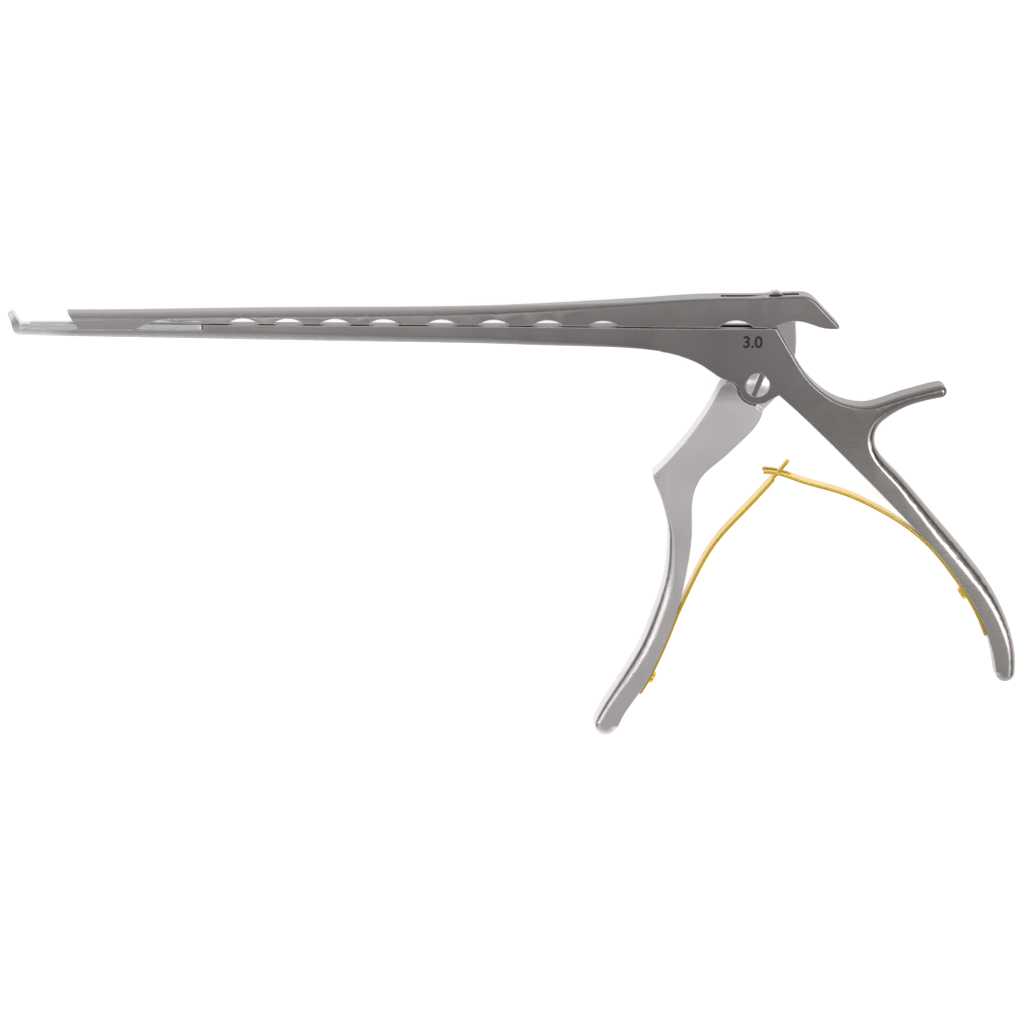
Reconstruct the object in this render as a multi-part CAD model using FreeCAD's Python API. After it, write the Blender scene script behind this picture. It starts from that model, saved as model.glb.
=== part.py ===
import FreeCAD, Part
import math
import os

Vector = FreeCAD.Vector

# Places are in millimetres from the pivot screw's axis while the pieces are made.
# X runs along the shaft towards the thumb rest, Y up towards the slide, Z across.
# The finished model is moved so that it lies on Z = 0, centred on its own outline.

# Thicknesses and working gaps
FRAME_THICK = 8.0
SHAFT_THICK = 4.9
RUN_GAP = 0.05
SEAT_GAP = 0.02
SIDE_GAP = 0.15
EDGE_ROUND = 0.5

# Lower shaft
SEAM_Y = 14.0
SHAFT_FRONT_X = -182.0
LEDGE_DROP = 1.38
RAIL_THICK = 3.6
POCKET_END_X = -136.4
RIDGE_WIDTH = 1.8
RIDGE_HEIGHT = 0.35
TEE_NECK_WIDTH = 1.8
TEE_NECK_HEIGHT = 0.6
TEE_HEAD_WIDTH = 3.0
TEE_HEAD_HEIGHT = 0.9
TEE_REAR_X = -13.0
FRAME_FRONT_X = -24.3
# Stations of the lower shaft: place along X, thickness, underside, edge round
SHAFT_STATIONS = (
    (SHAFT_FRONT_X, 4.8, 10.9, 2.1),
    (-152.7, SHAFT_THICK, 10.5, 2.1),
    (-113.0, SHAFT_THICK, 9.95, 2.1),
    (-88.4, 4.95, 9.7, 2.0),
    (-63.7, 5.3, 9.4, 1.8),
    (-48.9, 6.0, 9.15, 1.4),
    (-38.5, 6.9, 9.1, 1.0),
    (-30.5, 7.7, 8.85, 0.7),
    (FRAME_FRONT_X, FRAME_THICK, 8.25, EDGE_ROUND),
)

# Footplate
BITE_LEAN = 32.5
BITE_WIDTH = 3.0
FOOT_HEIGHT = 2.7
FOOT_TIP_ROUND = 0.68
FOOT_HEEL_THICK = 1.5
DIMPLE_RADIUS = 0.75

# Upper slide
JAW_OPENING = 13.6
CUP_LENGTH = 9.0
CUP_WIDTH = 3.2
CUP_HEIGHT = 2.3
CUTAWAY_RISE = 0.9
CUTAWAY_LENGTH = 17.6
CUTAWAY_SLANT = 5.2
CUTAWAY_END = 1.3
# Wave of the cut-away edge: place ahead of the pocket's end, lift off the crest
CUTAWAY_WAVE = ((9.6, 0.05), (6.0, -0.35), (3.2, 0.05))
SLIDE_STATIONS = (
    (-173.0, SHAFT_THICK, 17.35, 2.3),
    (-152.5, SHAFT_THICK, 17.5, 2.3),
    (-137.7, SHAFT_THICK, 17.8, 2.3),
    (-113.0, SHAFT_THICK, 18.2, 2.3),
    (-88.4, 4.95, 18.4, 2.2),
    (-63.7, 5.3, 18.9, 1.9),
    (-48.9, 6.0, 19.5, 1.5),
    (-38.5, 6.9, 20.0, 1.1),
    (-29.2, 7.7, 20.5, 0.8),
    (-19.3, FRAME_THICK, 21.2, 0.6),
    (-10.0, FRAME_THICK, 21.6, 0.6),
    (3.0, FRAME_THICK, 21.9, 0.6),
)
SLIDE_TAIL_X = 2.0
TAIL_ROUND = 0.6
SEAM_RELIEF_DEPTH = 0.5
SEAM_RELIEF_HEIGHT = 0.35

# Flushing windows between the slide and the lower shaft
WINDOW_CENTRES = (-127.0, -115.9, -104.3, -92.3, -78.1, -65.2, -51.9, -38.2)
WINDOW_WIDTH = 8.6
WINDOW_HEIGHT = 1.7
REAR_WINDOW_CENTRE = -5.6
REAR_WINDOW_WIDTH = 9.2
REAR_WINDOW_HEIGHT = 2.1
RAIL_GAP_LENGTH = 7.4

# Trigger handle, its arm and the drive pin
PIN_ORBIT = 17.6
ARM_LEAN = 22.5
ARM_THICK = 3.0
ARM_TOP_RADIUS = 2.4
HUB_RADIUS = 7.0
BOSS_RADIUS = 4.9
PIN_RADIUS = 1.1
PIN_REACH = 1.2
PIN_SIDE_PLAY = 0.12

# Pivot screw
PIVOT_RADIUS = 2.0
PIVOT_HEAD_RADIUS = 2.92
PIVOT_HEAD_SUNK = 0.9
PIVOT_HEAD_PROUD = 0.55
PIVOT_HEAD_DOME = 0.4
DRIVER_SLOT_WIDTH = 1.2
DRIVER_SLOT_DEPTH = 0.8
DRIVER_SLOT_TURN = 70.0

# Leaf springs and their screws
SPRING_THICK = 0.75
SPRING_WIDTH = 5.4
TONGUE_WIDTH = 2.3
FORK_SLOT_WIDTH = 3.0
SPRING_SCREW_RADIUS = 0.9
SPRING_SCREW_HEAD_RADIUS = 1.6
SPRING_SCREW_HEAD_HEIGHT = 0.9
SPRING_SCREW_DEPTH = 3.0
REAR_SCREW_PLACE = (53.6, -53.2)
FRONT_SCREW_PLACE = (-26.0, -75.6)
SPRING_SCREW_SEAT = 0.06
FORK_ROOT_X = 7.6
REAR_SPRING_FREE = (
    (2.0, -22.4), (6.1, -22.9), (11.1, -24.6), (21.2, -27.5), (31.0, -31.9), (38.4, -36.5),
)
REAR_SPRING_LEAVES = (44.9, -41.7)
REAR_SPRING_FOOT = (59.1, -64.0)
FRONT_SPRING_FREE = (
    (8.2, -19.7), (4.0, -24.9), (-2.8, -32.6), (-9.4, -40.2), (-13.7, -47.6), (-16.6, -54.0),
)
FRONT_SPRING_LEAVES = (-19.8, -60.5)
FRONT_SPRING_FOOT = (-28.3, -79.6)
TONGUE_ROOT = (4.3, -24.6)
TONGUE_CUT_TURN = 6.0

# Handles
BOSS_ENDS = (190.0, -50.0)
STEP_MIDDLE = (-5.55, 0.2)
STEP_END = (-7.0, 0.85)
SEAM_REAR_X = 4.6
SPUR_ROUND = 1.2
CROTCH_ROUND = 2.0
GRIP_ROUND = 3.4
GRIP_END_ROUND = 2.0
NECK_ROUND = 1.8
REAR_GRIP_INNER = (
    (5.3, -2.6), (12.3, -8.9), (22.5, -18.8), (32.7, -29.0), (39.1, -35.6), (45.8, -42.7), (51.5, -50.0),
    (56.1, -57.3), (59.1, -64.0), (60.9, -70.1), (61.6, -74.4),
)
FRONT_GRIP_INNER = (
    (1.35, -6.8), (-0.7, -11.0), (-3.6, -14.1), (-8.7, -19.0), (-13.4, -23.4), (-15.4, -28.0), (-15.6, -36.0),
    (-16.6, -46.5), (-19.0, -58.0), (-23.4, -69.8), (-28.0, -79.0), (-32.3, -85.6), (-33.7, -89.1),
)

# Release lever in the top of the slide
LEVER_PIVOT_X = -8.2
LEVER_EYE_RADIUS = 0.5
LEVER_PIN_LENGTH = 5.4
LEVER_END_X = 6.1
LEVER_WIDTH = 2.8
LEVER_BAR_THICK = 0.5
LEVER_POCKET_FRONT_X = -9.4
LEVER_POCKET_REAR_X = 10.0
LEVER_PIN_RADIUS = 0.3
BUTTON_CENTRE_X = 4.2
BUTTON_LENGTH = 3.7
BUTTON_GROOVES = 4
BUTTON_GROOVE_RADIUS = 0.16
BUTTON_STEM_RADIUS = 0.6
LEVER_SPRING_THICK = 0.15

HALF = FRAME_THICK / 2.0
ARM_SLOT = ARM_THICK + 2.0 * SIDE_GAP
PIN_X = PIN_ORBIT * math.sin(math.radians(ARM_LEAN))
PIN_Y = PIN_ORBIT * math.cos(math.radians(ARM_LEAN))
LEDGE_Y = SEAM_Y - LEDGE_DROP
LEAN_SLOPE = math.tan(math.radians(BITE_LEAN))
TALL = 7.5 * FRAME_THICK
NOSE_X = SHAFT_FRONT_X + JAW_OPENING
SKIRT_REAR_X = POCKET_END_X - CUTAWAY_LENGTH
SPRING_STAND = SPRING_THICK / 2.0 + RUN_GAP
ARM_SLOT_FRONT_X = PIN_X - 5.6
ARM_SLOT_REAR_X = PIN_X + 5.6
LEVER_POCKET_FLOOR_Y = PIN_ORBIT + ARM_TOP_RADIUS + 0.25
ARM_SLOT_TOP_Y = LEVER_POCKET_FLOOR_Y + 0.1
LEVER_UNDERSIDE_Y = LEVER_POCKET_FLOOR_Y + 0.5
LEVER_PIVOT_Y = LEVER_POCKET_FLOOR_Y + 0.6
LEVER_TOP_Y = LEVER_POCKET_FLOOR_Y + 1.6
BUTTON_TOP_Y = LEVER_POCKET_FLOOR_Y + 2.7
PIN_GROOVE_TOP_Y = PIN_ORBIT + PIN_RADIUS + SIDE_GAP


def at(x, y, z=0.0):
    return Vector(x, y, z)


def line(*places):
    """Straight edges through the places."""
    corners = [at(x, y) for x, y in places]
    return [Part.LineSegment(a, b).toShape() for a, b in zip(corners, corners[1:])]


def arc(start, middle, end):
    """A round edge through three places."""
    return [Part.Arc(at(*start), at(*middle), at(*end)).toShape()]


def curve(*places, start=None, end=None):
    """A smooth edge through the places, with its end directions where they are given."""
    spline = Part.BSplineCurve()
    corners = [at(x, y) for x, y in places]
    if start and end:
        spline.interpolate(Points=corners, InitialTangent=at(*start), FinalTangent=at(*end))
    else:
        spline.interpolate(Points=corners)
    return [spline.toShape()]


def plate(edges, thick):
    """A flat plate of the closed outline, centred on the middle plane."""
    face = Part.Face(Part.Wire(edges))
    solid = face.extrude(at(0, 0, thick))
    solid.translate(at(0, 0, -thick / 2.0))
    if solid.Volume < 0:
        solid.reverse()
    return solid


def block(x0, x1, y0, y1, thick):
    """A box between two places, centred on the middle plane."""
    return Part.makeBox(x1 - x0, y1 - y0, thick, at(x0, y0, -thick / 2.0))


def disc(x, y, radius, thick):
    """A round bar along Z, centred on the middle plane."""
    return Part.makeCylinder(radius, thick, at(x, y, -thick / 2.0))


def turn(start, direction, end):
    """A round edge that leaves its start in the direction, and the direction at its end."""
    first = at(*start)
    last = at(*end)
    ahead = at(*direction).normalize()
    aside = at(-ahead.y, ahead.x)
    chord = last - first
    swing = chord.dot(chord) / (2.0 * chord.dot(aside))
    centre = first + aside * swing
    outward = (first + last) * 0.5 - centre
    outward = ahead if outward.Length < 1e-6 else outward.normalize()
    if outward.dot(ahead) < 0:
        outward = outward * -1.0
    edge = Part.Arc(first, centre + outward * abs(swing), last).toShape()
    spoke = (last - centre).normalize()
    side = 1.0 if swing > 0 else -1.0
    return [edge], (-spoke.y * side, spoke.x * side)


def soften(solid, half, rounds):
    """Rounds outline edges on both faces. rounds holds (edge, radius at its start, radius at its end)."""
    choices = []
    for outline, first, last in rounds:
        start = outline.valueAt(outline.FirstParameter)
        middle = outline.valueAt((outline.FirstParameter + outline.LastParameter) / 2.0)
        for side in (-half, half):
            spot = Part.Vertex(at(middle.x, middle.y, side))
            number = min(range(len(solid.Edges)), key=lambda i: solid.Edges[i].distToShape(spot)[0])
            edge = solid.Edges[number]
            opening = edge.valueAt(edge.FirstParameter)
            same = (at(opening.x, opening.y) - start).Length < 0.01
            choices.append((number + 1, first, last) if same else (number + 1, last, first))
    document = FreeCAD.newDocument("rounding")
    base = document.addObject("Part::Feature", "base")
    base.Shape = solid
    fillet = document.addObject("Part::Fillet", "fillet")
    fillet.Base = base
    fillet.Edges = choices
    document.recompute()
    rounded = fillet.Shape.copy()
    FreeCAD.closeDocument(document.Name)
    return rounded


def crowned_section(x, thick, flat_y, crown_y, radius):
    """A cross section of the shaft: square at the seam and rounded at the crown."""
    half = thick / 2.0
    bend = min(radius, half - 0.1)
    side = 1.0 if crown_y > flat_y else -1.0
    inset = bend * (1.0 - math.sqrt(0.5))
    low = crown_y - side * bend
    mid = crown_y - side * inset
    edges = [
        Part.LineSegment(at(x, flat_y, -half), at(x, flat_y, half)).toShape(),
        Part.LineSegment(at(x, flat_y, half), at(x, low, half)).toShape(),
        Part.Arc(at(x, low, half), at(x, mid, half - inset), at(x, crown_y, half - bend)).toShape(),
        Part.LineSegment(at(x, crown_y, half - bend), at(x, crown_y, bend - half)).toShape(),
        Part.Arc(at(x, crown_y, bend - half), at(x, mid, inset - half), at(x, low, -half)).toShape(),
        Part.LineSegment(at(x, low, -half), at(x, flat_y, -half)).toShape(),
    ]
    return Part.Wire(edges)


def loft_shaft(stations, flat_y):
    """The long body through the stations, flat at the seam."""
    wires = [crowned_section(x, thick, flat_y, crown, bend) for x, thick, crown, bend in stations]
    return Part.makeLoft(wires, True, False)


def scallop(centre, width, height, base_y):
    """A round cutter that leaves an arched notch in an edge at base_y."""
    radius = (width * width / 4.0 + height * height) / (2.0 * height)
    return disc(centre, base_y + height - radius, radius, TALL)


def footplate():
    """The bite plate that turns up at the tip, narrowed to the bite width."""
    top_x = SHAFT_FRONT_X - FOOT_HEIGHT * LEAN_SLOPE
    top_y = SEAM_Y + FOOT_HEIGHT
    outer_x = top_x - 2.0 * FOOT_TIP_ROUND * math.cos(math.radians(BITE_LEAN))
    outer_y = top_y - 2.0 * FOOT_TIP_ROUND * math.sin(math.radians(BITE_LEAN))
    crown = (top_x - 1.15 * FOOT_TIP_ROUND, top_y + 0.45 * FOOT_TIP_ROUND)
    heel_x = SHAFT_FRONT_X - FOOT_HEEL_THICK
    heel_y = SHAFT_STATIONS[0][2] + 1.2
    under_y = SHAFT_STATIONS[0][2]
    root_x = SHAFT_FRONT_X + 3.0
    edges = line((root_x, under_y), (root_x, SEAM_Y), (SHAFT_FRONT_X, SEAM_Y), (top_x, top_y))
    edges += arc((top_x, top_y), crown, (outer_x, outer_y))
    edges += line((outer_x, outer_y), (heel_x, heel_y))
    edges += arc((heel_x, heel_y), (heel_x + 0.6, heel_y - 0.85), (heel_x + 1.6, under_y))
    edges += line((heel_x + 1.6, under_y), (root_x, under_y))
    body = plate(edges, SHAFT_THICK)
    half = SHAFT_THICK / 2.0
    tip = BITE_WIDTH / 2.0
    sides = [at(-TALL, under_y - 1.0, -half), at(-TALL, LEDGE_Y, -half), at(-TALL, SEAM_Y, -tip - 0.2)]
    sides += [at(-TALL, top_y + 2.0, -tip), at(-TALL, top_y + 2.0, tip), at(-TALL, SEAM_Y, tip + 0.2)]
    sides += [at(-TALL, LEDGE_Y, half), at(-TALL, under_y - 1.0, half)]
    taper = Part.Face(Part.makePolygon(sides + sides[:1])).extrude(at(2.0 * TALL, 0, 0))
    taper.translate(at(SHAFT_FRONT_X, 0, 0))
    body = body.common(taper)
    keel = crowned_section(0.0, SHAFT_STATIONS[0][1], top_y + 4.0, under_y, SHAFT_STATIONS[0][3])
    keel = Part.Face(keel).extrude(at(2.0 * TALL, 0, 0))
    keel.translate(at(SHAFT_FRONT_X - TALL, 0, 0))
    return body.common(keel)


def guide_rail():
    """The low ridge at the front and the tee rail, broken at each window."""
    ridge = block(SHAFT_FRONT_X + 2.5, POCKET_END_X, SEAM_Y - 0.5, SEAM_Y + RIDGE_HEIGHT, RIDGE_WIDTH)
    neck_top = SEAM_Y + TEE_NECK_HEIGHT
    head_top = neck_top + TEE_HEAD_HEIGHT
    rail = block(POCKET_END_X, TEE_REAR_X, SEAM_Y - 0.5, head_top, TEE_NECK_WIDTH)
    rail = rail.fuse(block(POCKET_END_X, TEE_REAR_X, neck_top, head_top, TEE_HEAD_WIDTH))
    for centre in WINDOW_CENTRES:
        half = RAIL_GAP_LENGTH / 2.0
        rail = rail.cut(block(centre - half, centre + half, SEAM_Y, head_top + 1.0, TALL))
    return ridge.fuse(rail)


def side_pocket(side):
    """The milled side of the front rail, with the cutter's round run-out at its rear end."""
    depth = (SHAFT_THICK - RAIL_THICK) / 2.0 + 1.0
    inset = depth * (1.0 - math.sqrt(0.5))
    inner = side * RAIL_THICK / 2.0
    front_low = at(SHAFT_FRONT_X + 0.1, LEDGE_Y, inner)
    front_high = at(SHAFT_FRONT_X + 0.1, LEDGE_Y, inner + side * depth)
    rear_low = at(POCKET_END_X - depth, LEDGE_Y, inner)
    rear_middle = at(POCKET_END_X - inset, LEDGE_Y, inner + side * inset)
    rear_high = at(POCKET_END_X, LEDGE_Y, inner + side * depth)
    edges = [
        Part.LineSegment(front_high, front_low).toShape(),
        Part.LineSegment(front_low, rear_low).toShape(),
        Part.Arc(rear_low, rear_middle, rear_high).toShape(),
        Part.LineSegment(rear_high, front_high).toShape(),
    ]
    return Part.Face(Part.Wire(edges)).extrude(at(0, SEAM_Y - LEDGE_Y + 1.0, 0))


def boss_ends():
    """Where the round boss leaves the lower edge of the frame, front then rear."""
    places = []
    for degrees in BOSS_ENDS:
        angle = math.radians(degrees)
        places.append((BOSS_RADIUS * math.cos(angle), BOSS_RADIUS * math.sin(angle)))
    return places


def frame_plate():
    """The cheeks, the rear handle and the thumb rest, with the handle's back rounded."""
    boss_front, boss_rear = boss_ends()
    corner = (FRAME_FRONT_X, SHAFT_STATIONS[-1][2])
    oblique_end = (9.3, 6.2)
    oblique = (oblique_end[0] - SEAM_REAR_X, oblique_end[1] - SEAM_Y)
    tip_high, tip_low, tip_slope = (45.0, -0.1), (45.6, -3.1), (4.0, 0.8)
    crotch_high, crotch_low, crotch_slope = (31.6, -9.0), (29.6, -15.6), (-3.0, -2.3)
    grip_middle, grip_slope = (52.8, -42.7), (9.1, -11.2)
    grip_end, end_slope = (66.4, -73.9), (-0.3, -6.0)
    top = curve(oblique_end, (12.6, 1.5), (16.0, -1.7), (19.6, -3.9), (23.4, -5.1), (27.0, -5.35),
                (31.0, -4.35), (36.0, -2.55), (40.9, -1.1), tip_high, start=oblique, end=tip_slope)
    tip, heading = turn(tip_high, tip_slope, tip_low)
    under = curve(tip_low, (40.1, -4.4), (35.2, -6.5), crotch_high, start=heading, end=crotch_slope)
    crotch, heading = turn(crotch_high, crotch_slope, crotch_low)
    upper_back = curve(crotch_low, (34.2, -21.6), (43.7, -32.2), grip_middle, start=heading, end=grip_slope)
    lower_back = curve(grip_middle, (60.4, -53.0), (65.0, -63.4), grip_end, start=grip_slope, end=end_slope)
    bottom, heading = turn(grip_end, end_slope, REAR_GRIP_INNER[-1])
    outline = line(corner, (FRAME_FRONT_X, SEAM_Y), (SEAM_REAR_X, SEAM_Y), oblique_end)
    outline += top + tip + under + crotch + upper_back + lower_back + bottom
    outline += curve(*REAR_GRIP_INNER[::-1]) + line(REAR_GRIP_INNER[0], boss_rear)
    outline += arc(boss_rear, (0.0, -BOSS_RADIUS), boss_front)
    outline += arc(boss_front, STEP_MIDDLE, STEP_END)
    outline += curve(STEP_END, (-9.4, 1.8), (-11.9, 3.5), (-14.4, 5.1), (-19.3, 7.1), corner,
                     start=(-2.0, 0.6), end=(-5.0, 0.9))
    rounds = [(top[0], EDGE_ROUND, SPUR_ROUND)]
    rounds.append((tip[0], SPUR_ROUND, SPUR_ROUND))
    rounds.append((under[0], SPUR_ROUND, CROTCH_ROUND))
    rounds.append((crotch[0], CROTCH_ROUND, CROTCH_ROUND))
    rounds.append((upper_back[0], CROTCH_ROUND, GRIP_ROUND))
    rounds.append((lower_back[0], GRIP_ROUND, GRIP_END_ROUND))
    rounds.append((bottom[0], GRIP_END_ROUND, GRIP_END_ROUND))
    return soften(plate(outline, FRAME_THICK), HALF, rounds)


def arm_slot():
    """The slot between the cheeks in which the arm swings."""
    top = SEAM_Y + 3.0
    swing = line((-10.4, top), (-10.4, 6.0), (-8.0, -1.0), (-12.0, -8.0), (2.0, -12.0), (4.6, -6.4),
                 (7.3, -2.4), (10.2, 4.5), (14.0, 9.0), (14.0, top), (-10.4, top))
    return disc(0.0, 0.0, HUB_RADIUS + SIDE_GAP, ARM_SLOT).fuse(plate(swing, ARM_SLOT))


def frame():
    """Footplate, lower shaft, cheeks, rear handle and thumb rest, forged as one piece."""
    body = loft_shaft(SHAFT_STATIONS, SEAM_Y).fuse([frame_plate(), footplate()])
    for side in (-1, 1):
        body = body.cut(side_pocket(side))
    body = body.fuse(guide_rail())
    body = body.cut(arm_slot())
    body = body.cut(disc(0.0, 0.0, PIVOT_RADIUS + SEAT_GAP, TALL))
    head_seat = Part.makeCylinder(PIVOT_HEAD_RADIUS + SEAT_GAP, TALL, at(0, 0, HALF - PIVOT_HEAD_SUNK))
    body = body.cut(head_seat)
    depth = SPRING_SCREW_DEPTH + SEAT_GAP
    hole = SPRING_SCREW_RADIUS + SEAT_GAP
    body = body.cut(screw_bar(REAR_GRIP_INNER, REAR_SCREW_PLACE, -1.0, hole, -depth, 2.0))
    for side in (-1, 1):
        dimple = disc(SHAFT_FRONT_X + 1.6, LEDGE_Y + 0.6, DIMPLE_RADIUS, 0.8)
        dimple.translate(at(0, 0, side * RAIL_THICK / 2.0))
        body = body.cut(dimple)
    return body


def tail_outline():
    """The rear of the slide from the side, with its hooked tail."""
    low = SEAM_Y + RUN_GAP
    under = curve((2.2, low), (5.6, low + 1.2), (9.4, low + 1.95), (12.2, low + 1.4), (15.0, low + 0.45),
                  (19.3, low + 0.1), start=(2.0, 0.3), end=(1.5, 0.05))
    nose, heading = turn((19.3, low + 0.1), (1.5, 0.05), (19.75, low + 0.75))
    slope = line((19.75, low + 0.75), (14.1, 20.7))
    hump, heading = turn((14.1, 20.7), (-5.65, 5.9), (10.6, 22.2))
    roof_end = (SLIDE_TAIL_X, SLIDE_STATIONS[-1][2] - 0.03)
    roof = curve((10.6, 22.2), roof_end, start=heading, end=(-1.0, -0.03))
    ends = line(roof_end, (SLIDE_TAIL_X, low), (2.2, low))
    return under + nose + slope + hump + roof + ends, (slope, hump, roof)


def slide_tail():
    """The hooked tail behind the arm."""
    outline, back = tail_outline()
    return soften(plate(outline, FRAME_THICK), HALF, [(edges[0], TAIL_ROUND, TAIL_ROUND) for edges in back])


def slide_channels():
    """The tee channel, the arm's slot and the drive pin's grooves under the slide."""
    low = SEAM_Y - 1.0
    neck_top = SEAM_Y + TEE_NECK_HEIGHT - RUN_GAP
    head_top = SEAM_Y + TEE_NECK_HEIGHT + TEE_HEAD_HEIGHT + RUN_GAP
    front = POCKET_END_X - RUN_GAP
    rear = ARM_SLOT_FRONT_X + 0.5
    cutters = [
        block(SHAFT_FRONT_X, rear, low, SEAM_Y + RIDGE_HEIGHT + RUN_GAP, TEE_NECK_WIDTH + 2.0 * RUN_GAP),
        block(front, rear, low, head_top, TEE_NECK_WIDTH + 2.0 * RUN_GAP),
        block(front, rear, neck_top, head_top, TEE_HEAD_WIDTH + 2.0 * RUN_GAP),
        block(ARM_SLOT_FRONT_X, ARM_SLOT_REAR_X, low, ARM_SLOT_TOP_Y, ARM_SLOT),
        block(PIN_X - PIN_RADIUS - PIN_SIDE_PLAY, PIN_X + PIN_RADIUS + PIN_SIDE_PLAY, low, PIN_GROOVE_TOP_Y,
              ARM_THICK + 2.0 * PIN_REACH + 2.0 * RUN_GAP),
    ]
    return cutters


def seam_relief(side):
    """A shallow step along the slide's lower edge, so that the joint shows as a fine line."""
    depth = SEAM_RELIEF_DEPTH
    stations = [(x, thick) for x, thick, crown, bend in SLIDE_STATIONS]
    inner = [at(x, SEAM_Y - 1.0, side * (thick / 2.0 - depth)) for x, thick in stations]
    inner.append(at(TALL, SEAM_Y - 1.0, inner[-1].z))
    outer = [at(TALL, SEAM_Y - 1.0, side * TALL), at(inner[0].x, SEAM_Y - 1.0, side * TALL)]
    path = Part.makePolygon(inner + outer + inner[:1])
    return Part.Face(path).extrude(at(0, 1.0 + SEAM_RELIEF_HEIGHT, 0))


def slide_nose_cutters():
    """The slanted cutting face, the hollow cup behind it and the cut-away skirts."""
    low = LEDGE_Y - 1.0
    high = SEAM_Y + 6.0
    face_low = NOSE_X - (low - SEAM_Y) * LEAN_SLOPE
    face_high = NOSE_X - (high - SEAM_Y) * LEAN_SLOPE
    clear = NOSE_X - 20.0
    before = line((face_low, low), (face_high, high), (clear, high), (clear, low), (face_low, low))
    ahead = plate(before, TALL)
    cup_top = SEAM_Y + CUP_HEIGHT
    cup_radius = CUP_WIDTH / 2.0
    cup_axis_y = cup_top - cup_radius
    mouth_x = NOSE_X - 6.0
    cup = Part.makeCylinder(cup_radius, CUP_LENGTH + 6.0, at(mouth_x, cup_axis_y, 0), at(1, 0, 0))
    cup = cup.fuse(block(mouth_x, NOSE_X + CUP_LENGTH, SEAM_Y - 1.0, cup_axis_y, CUP_WIDTH))
    return [ahead, cup]


def slide_skirts():
    """The thin side walls that hang over the front rail."""
    rear_low = (SKIRT_REAR_X, LEDGE_Y + RUN_GAP)
    rear_high = (SKIRT_REAR_X + CUTAWAY_SLANT, SEAM_Y + CUTAWAY_RISE)
    top = SEAM_Y + 1.5
    front_x = NOSE_X - 2.0
    outline = line((front_x, rear_low[1]), rear_low, rear_high, (rear_high[0] + 1.0, top), (front_x, top),
                   (front_x, rear_low[1]))
    skirts = plate(outline, SHAFT_THICK)
    return skirts.cut(block(NOSE_X - 5.0, 0.0, 0.0, SEAM_Y + RUN_GAP, RAIL_THICK + 2.0 * RUN_GAP))


def skirt_cutaway():
    """The wavy hollow in the slide's lower edge that bares the front rail."""
    crest = SEAM_Y + CUTAWAY_RISE
    start = (SKIRT_REAR_X + CUTAWAY_SLANT, crest)
    rear = (POCKET_END_X - CUTAWAY_END, crest)
    low = SEAM_Y - 3.0
    end_x = POCKET_END_X + 1.0
    wave = [(POCKET_END_X - ahead, crest + lift) for ahead, lift in CUTAWAY_WAVE]
    outline = curve(start, *wave, rear)
    outline += line(rear, (end_x, SEAM_Y), (end_x, low), (SKIRT_REAR_X - 1.7, low), start)
    return plate(outline, TALL)


def upper_slide():
    """The sliding upper shaft with its cup, windows, channels and tail."""
    body = loft_shaft(SLIDE_STATIONS, SEAM_Y + RUN_GAP).fuse(slide_tail())
    body = body.common(block(-TALL * 4.0, TALL, 0.0, TALL, FRAME_THICK))
    body = body.fuse(slide_skirts()).cut(skirt_cutaway())
    for cutter in slide_nose_cutters() + slide_channels():
        body = body.cut(cutter)
    for centre in WINDOW_CENTRES:
        body = body.cut(scallop(centre, WINDOW_WIDTH, WINDOW_HEIGHT, SEAM_Y))
    body = body.cut(scallop(REAR_WINDOW_CENTRE, REAR_WINDOW_WIDTH, REAR_WINDOW_HEIGHT, SEAM_Y))
    behind = block(POCKET_END_X, SLIDE_TAIL_X, SEAM_Y - 1.0, SEAM_Y + SEAM_RELIEF_HEIGHT, TALL)
    for side in (-1, 1):
        body = body.cut(seam_relief(side).common(behind))
    width = LEVER_WIDTH + 2.0 * SIDE_GAP
    pocket = block(LEVER_POCKET_FRONT_X, LEVER_POCKET_REAR_X, LEVER_POCKET_FLOOR_Y, TALL, width)
    body = body.cut(pocket)
    return body.cut(disc(LEVER_PIVOT_X, LEVER_PIVOT_Y, LEVER_PIN_RADIUS + SEAT_GAP, LEVER_PIN_LENGTH))


def arm_outline():
    """The thin arm that rises from the front handle through the cheeks into the slide."""
    lobe_right = (PIN_X + ARM_TOP_RADIUS, PIN_Y - 0.4)
    lobe_left = (PIN_X - ARM_TOP_RADIUS, PIN_Y - 0.4)
    outline = arc(lobe_right, (PIN_X, PIN_Y + ARM_TOP_RADIUS), lobe_left)
    outline += curve(lobe_left, (1.2, 12.0), (-3.6, 6.6), (-6.8, 1.2), start=(-1.0, -3.0), end=(-1.6, -4.0))
    outline += line((-6.8, 1.2), (-9.0, -8.0), (-2.2, -12.0), (1.9, -6.5), (5.0, -3.2))
    outline += curve((5.0, -3.2), (7.0, 0.4), (8.9, 5.6), (9.4, 10.4), lobe_right,
                     start=(2.0, 3.0), end=(-0.2, 3.0))
    return outline


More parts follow.
